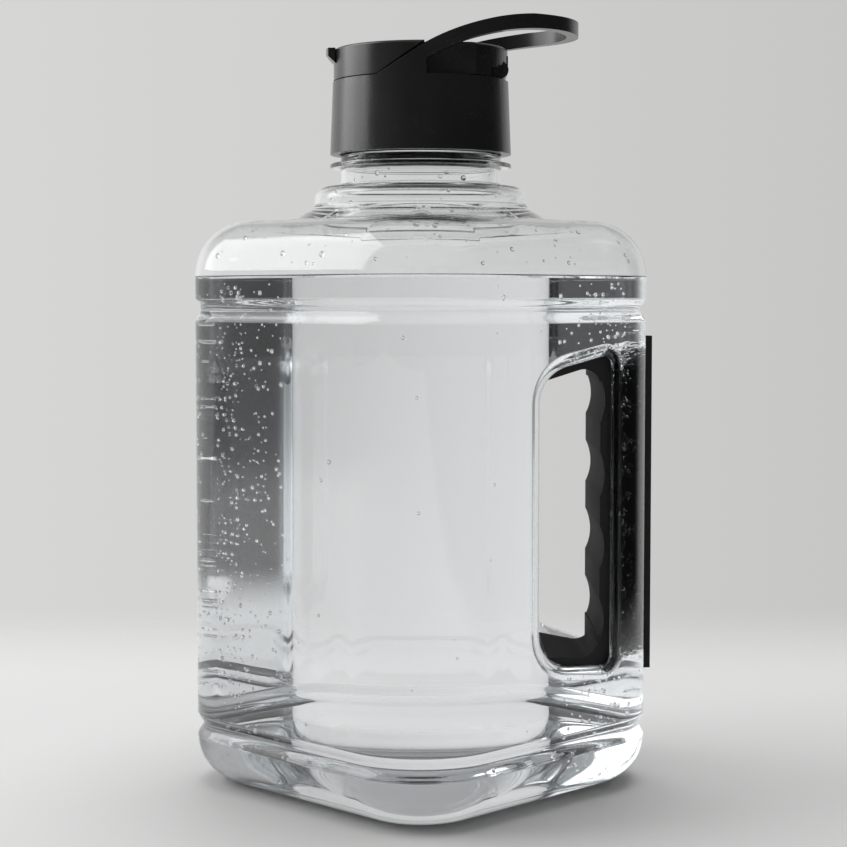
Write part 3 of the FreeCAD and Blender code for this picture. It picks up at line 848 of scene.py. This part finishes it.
def studio_world(finishes):
    """A pale backdrop behind and to the left, with the rest of the room dark."""
    world = bpy.data.worlds.new("studio")
    finish = Finish(world, "ShaderNodeOutputWorld")
    parts = finish.node("SeparateXYZ", None, {"Vector": finish.node("TexCoord").out("Generated")})
    pale = (parts.out("Y") - parts.out("X") * 0.3).smooth(low=0.25, high=0.55)
    above = parts.out("Z").smooth(low=0.15, high=0.6)
    left = (parts.out("X") * -1.0).smooth(low=0.2, high=0.8)
    sides = finish.blend(left, opaque(finishes.dark_side), opaque(finishes.left_side))
    slope = parts.out("X").smooth(low=-0.4, high=0.4)
    glow = finish.blend(slope, scaled(finishes.glow, 1.12), scaled(finishes.glow, 0.85))
    walls = finish.blend(pale, sides, glow)
    unseen = finish.blend(above, walls, opaque(finishes.ceiling))
    seen = finish.blend(slope, opaque(finishes.backdrop), scaled(finishes.backdrop, 0.80))
    sky = finish.blend(finish.node("LightPath").out("Is Camera Ray"), unseen, seen)
    shade = finish.node("Background", None, {"Color": sky, "Strength": 1.0})
    finish.surface(shade.out("Background"))
    return world


class JUG_OT_stage(bpy.types.Operator):
    """Make the floor, the studio light and the camera"""
    bl_idname = "jug.stage"
    bl_label = "Stage"

    def execute(self, context):
        scene = context.scene
        finishes = scene.jug_finishes
        bm = bmesh.new()
        bmesh.ops.create_grid(bm, x_segments=1, y_segments=1, size=FLOOR_HALF)
        floor = as_object(bm, "floor")
        floor.data.materials.append(floor_finish(finishes))
        scene.world = studio_world(finishes)
        soft_lamp("key", KEY_PLACE, KEY_AIM, KEY_SIZE, KEY_WATTS)
        top = soft_lamp("top", TOP_PLACE, TOP_AIM, TOP_SIZE, TOP_WATTS)
        top.visible_transmission = False
        top.visible_glossy = False
        lens = bpy.data.cameras.new("camera")
        lens.sensor_width = SENSOR_MM
        lens.lens = LENS_MM
        lens.clip_start = CLIP_START
        camera = bpy.data.objects.new("camera", lens)
        camera.location = CAMERA_PLACE
        camera.rotation_euler = (math.radians(90 - CAMERA_DOWN_DEG), 0, 0)
        scene.collection.objects.link(camera)
        scene.camera = camera
        scene.view_settings.view_transform = "Standard"
        scene.cycles.sample_clamp_indirect = INDIRECT_CLAMP
        scene.cycles.max_bounces = CLEAR_BOUNCES
        scene.cycles.transmission_bounces = CLEAR_BOUNCES
        scene.cycles.glossy_bounces = GLOSSY_BOUNCES
        return {"FINISHED"}


class JUG_PT_panel(bpy.types.Panel):
    """Lists the steps and the sizes"""
    bl_label = "Square Drink Jug"
    bl_idname = "JUG_PT_panel"
    bl_space_type = "VIEW_3D"
    bl_region_type = "UI"
    bl_category = "Jug"

    def draw(self, context):
        for step in STEPS:
            self.layout.operator(step.bl_idname)
        for group in (context.scene.jug_sizes, context.scene.jug_finishes):
            column = self.layout.column(align=True)
            for name in group.__annotations__:
                column.prop(group, name)


STEPS = (JUG_OT_stage, JUG_OT_shell, JUG_OT_water, JUG_OT_bubbles, JUG_OT_fittings)
GROUPS = (JugSizes, JugFinishes)


def register():
    for cls in GROUPS + STEPS + (JUG_PT_panel,):
        bpy.utils.register_class(cls)
    bpy.types.Scene.jug_sizes = PointerProperty(type=JugSizes)
    bpy.types.Scene.jug_finishes = PointerProperty(type=JugFinishes)


def unregister():
    del bpy.types.Scene.jug_finishes
    del bpy.types.Scene.jug_sizes
    for cls in reversed(GROUPS + STEPS + (JUG_PT_panel,)):
        bpy.utils.unregister_class(cls)


def main():
    """Registers the classes and makes every piece in turn."""
    register()
    bpy.ops.jug.stage()
    bpy.ops.jug.shell()
    bpy.ops.jug.water()
    bpy.ops.jug.bubbles()
    bpy.ops.jug.fittings()


if __name__ == "__main__":
    main()
